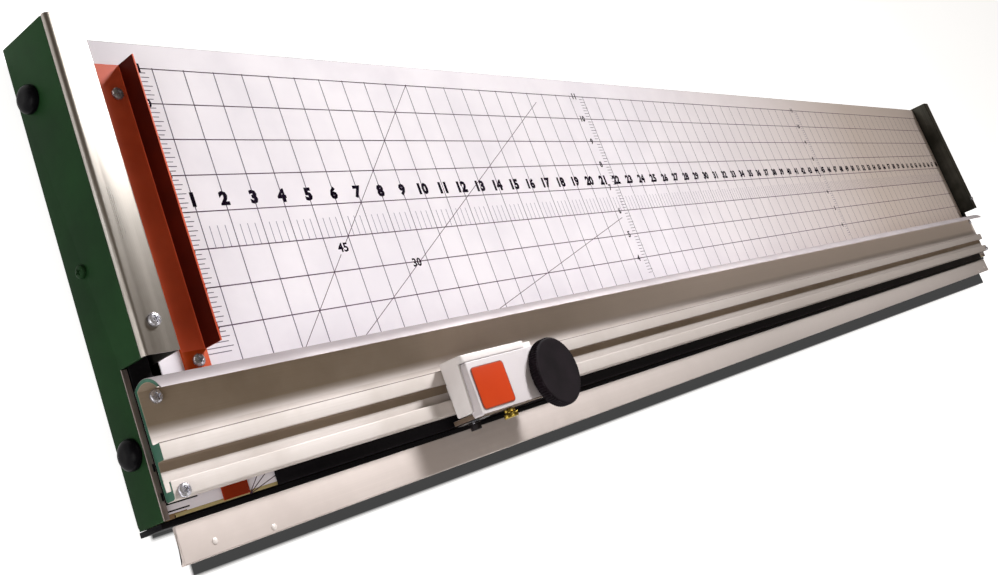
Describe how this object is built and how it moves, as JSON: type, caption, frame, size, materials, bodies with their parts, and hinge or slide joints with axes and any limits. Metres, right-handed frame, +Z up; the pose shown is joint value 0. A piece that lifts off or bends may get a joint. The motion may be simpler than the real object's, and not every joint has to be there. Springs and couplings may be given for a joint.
{
  "type": "rotary trimmer",
  "caption": "Bench trimmer: a long ruled work board, a hinged guide rail that clamps the sheet, and a sliding head that presses a rotary blade past the board's front edge.",
  "frame": {"origin": "centre of the footprint, at the underside of the feet", "axes": "+X to the right along the cut, +Y back from the operator, +Z up"},
  "size_m": [1.8414, 0.325, 0.0691],
  "materials": {
    "laminate": "smooth white laminate sheet",
    "edge_strip": "satin yellow metal",
    "black_paint": "satin black",
    "aluminium": "drawn, fine lengthwise lines",
    "green_paint": "dark green satin",
    "stainless": "brushed",
    "red_paint": "red-brown gloss",
    "rubber": "matt black",
    "brass": "turned",
    "head_paint": "light grey satin coat",
    "label": "plain orange-red",
    "knob": "matt black, ridged rim",
    "nylon": "off-white",
    "steel": "bright"
  },
  "bodies": {
    "base": {"work_board": "laminate", "cutting_edge_strip": "edge_strip", "front_channel": "black_paint", "rear_channel": "black_paint", "front_apron": "aluminium", "squaring_guide": "red_paint", "front_guide_screw": "steel", "rear_guide_screw": "steel", "left_end_plate": "green_paint", "left_end_cap": "stainless", "left_edge_trim": "stainless", "left_cap_screw": "steel", "left_plate_screw": "steel", "left_front_bumper": "rubber", "left_rear_bumper": "rubber", "left_pivot_pin": "steel", "right_end_plate": "green_paint", "right_end_cap": "stainless", "right_edge_trim": "stainless", "right_cap_screw": "steel", "right_plate_screw": "steel", "right_front_bumper": "rubber", "right_rear_bumper": "rubber", "right_pivot_pin": "steel", "front_left_foot": "rubber", "rear_left_foot": "rubber", "front_middle_foot": "rubber", "rear_middle_foot": "rubber", "front_right_foot": "rubber", "rear_right_foot": "rubber"},
    "rail": {"guide_rail": "aluminium", "clamp_strip": "rubber", "left_lift_arm": "black_paint", "left_pivot_bush": "brass", "front_left_rail_screw": "steel", "rear_left_rail_screw": "steel", "right_lift_arm": "black_paint", "right_pivot_bush": "brass", "front_right_rail_screw": "steel", "rear_right_rail_screw": "steel"},
    "carriage": {"slide_carriage": "head_paint", "front_glide_strip": "nylon", "rear_glide_strip": "nylon", "left_guide_pin": "steel", "right_guide_pin": "steel"},
    "blade_head": {"blade_block": "head_paint", "label_plate": "label", "left_guide_bush": "brass", "right_guide_bush": "brass", "left_return_spring": "steel", "right_return_spring": "steel", "blade_axle": "steel", "axle_nut": "black_paint", "knob_stud": "steel"},
    "knob": {"grip_knob": "knob", "knob_insert": "brass"},
    "thumb_screw": {"thumb_screw": "brass"},
    "blade": {"rotary_blade": "steel", "blade_washer": "steel"}
  },
  "joints": [
    {"name": "rail_lift", "type": "hinge", "parent": "base", "child": "rail", "pos_m": [0, 0.1222, 0.0162], "axis": [-1, 0, 0], "range_deg": [0, 6]},
    {"name": "head_slide", "type": "slide", "parent": "rail", "child": "carriage", "axis": [1, 0, 0], "range_m": [-0.228, 1.45]},
    {"name": "blade_press", "type": "slide", "parent": "carriage", "child": "blade_head", "axis": [0, 0, -1], "range_m": [0, 0.0026], "stiffness_N_per_m": 4000, "springref_m": -0.003, "deforming": ["left_return_spring", "right_return_spring"]},
    {"name": "knob_turn", "type": "hinge", "parent": "blade_head", "child": "knob", "pos_m": [-0.57044, -0.122, 0.0611], "axis": [0, 0, 1], "continuous": true},
    {"name": "thumb_turn", "type": "hinge", "parent": "blade_head", "child": "thumb_screw", "pos_m": [-0.62904, -0.1418, 0.0556], "axis": [0, 1, 0], "continuous": true},
    {"name": "blade_spin", "type": "hinge", "parent": "blade_head", "child": "blade", "pos_m": [-0.65314, -0.1374, 0.0405], "axis": [0, 1, 0], "continuous": true}
  ]
}
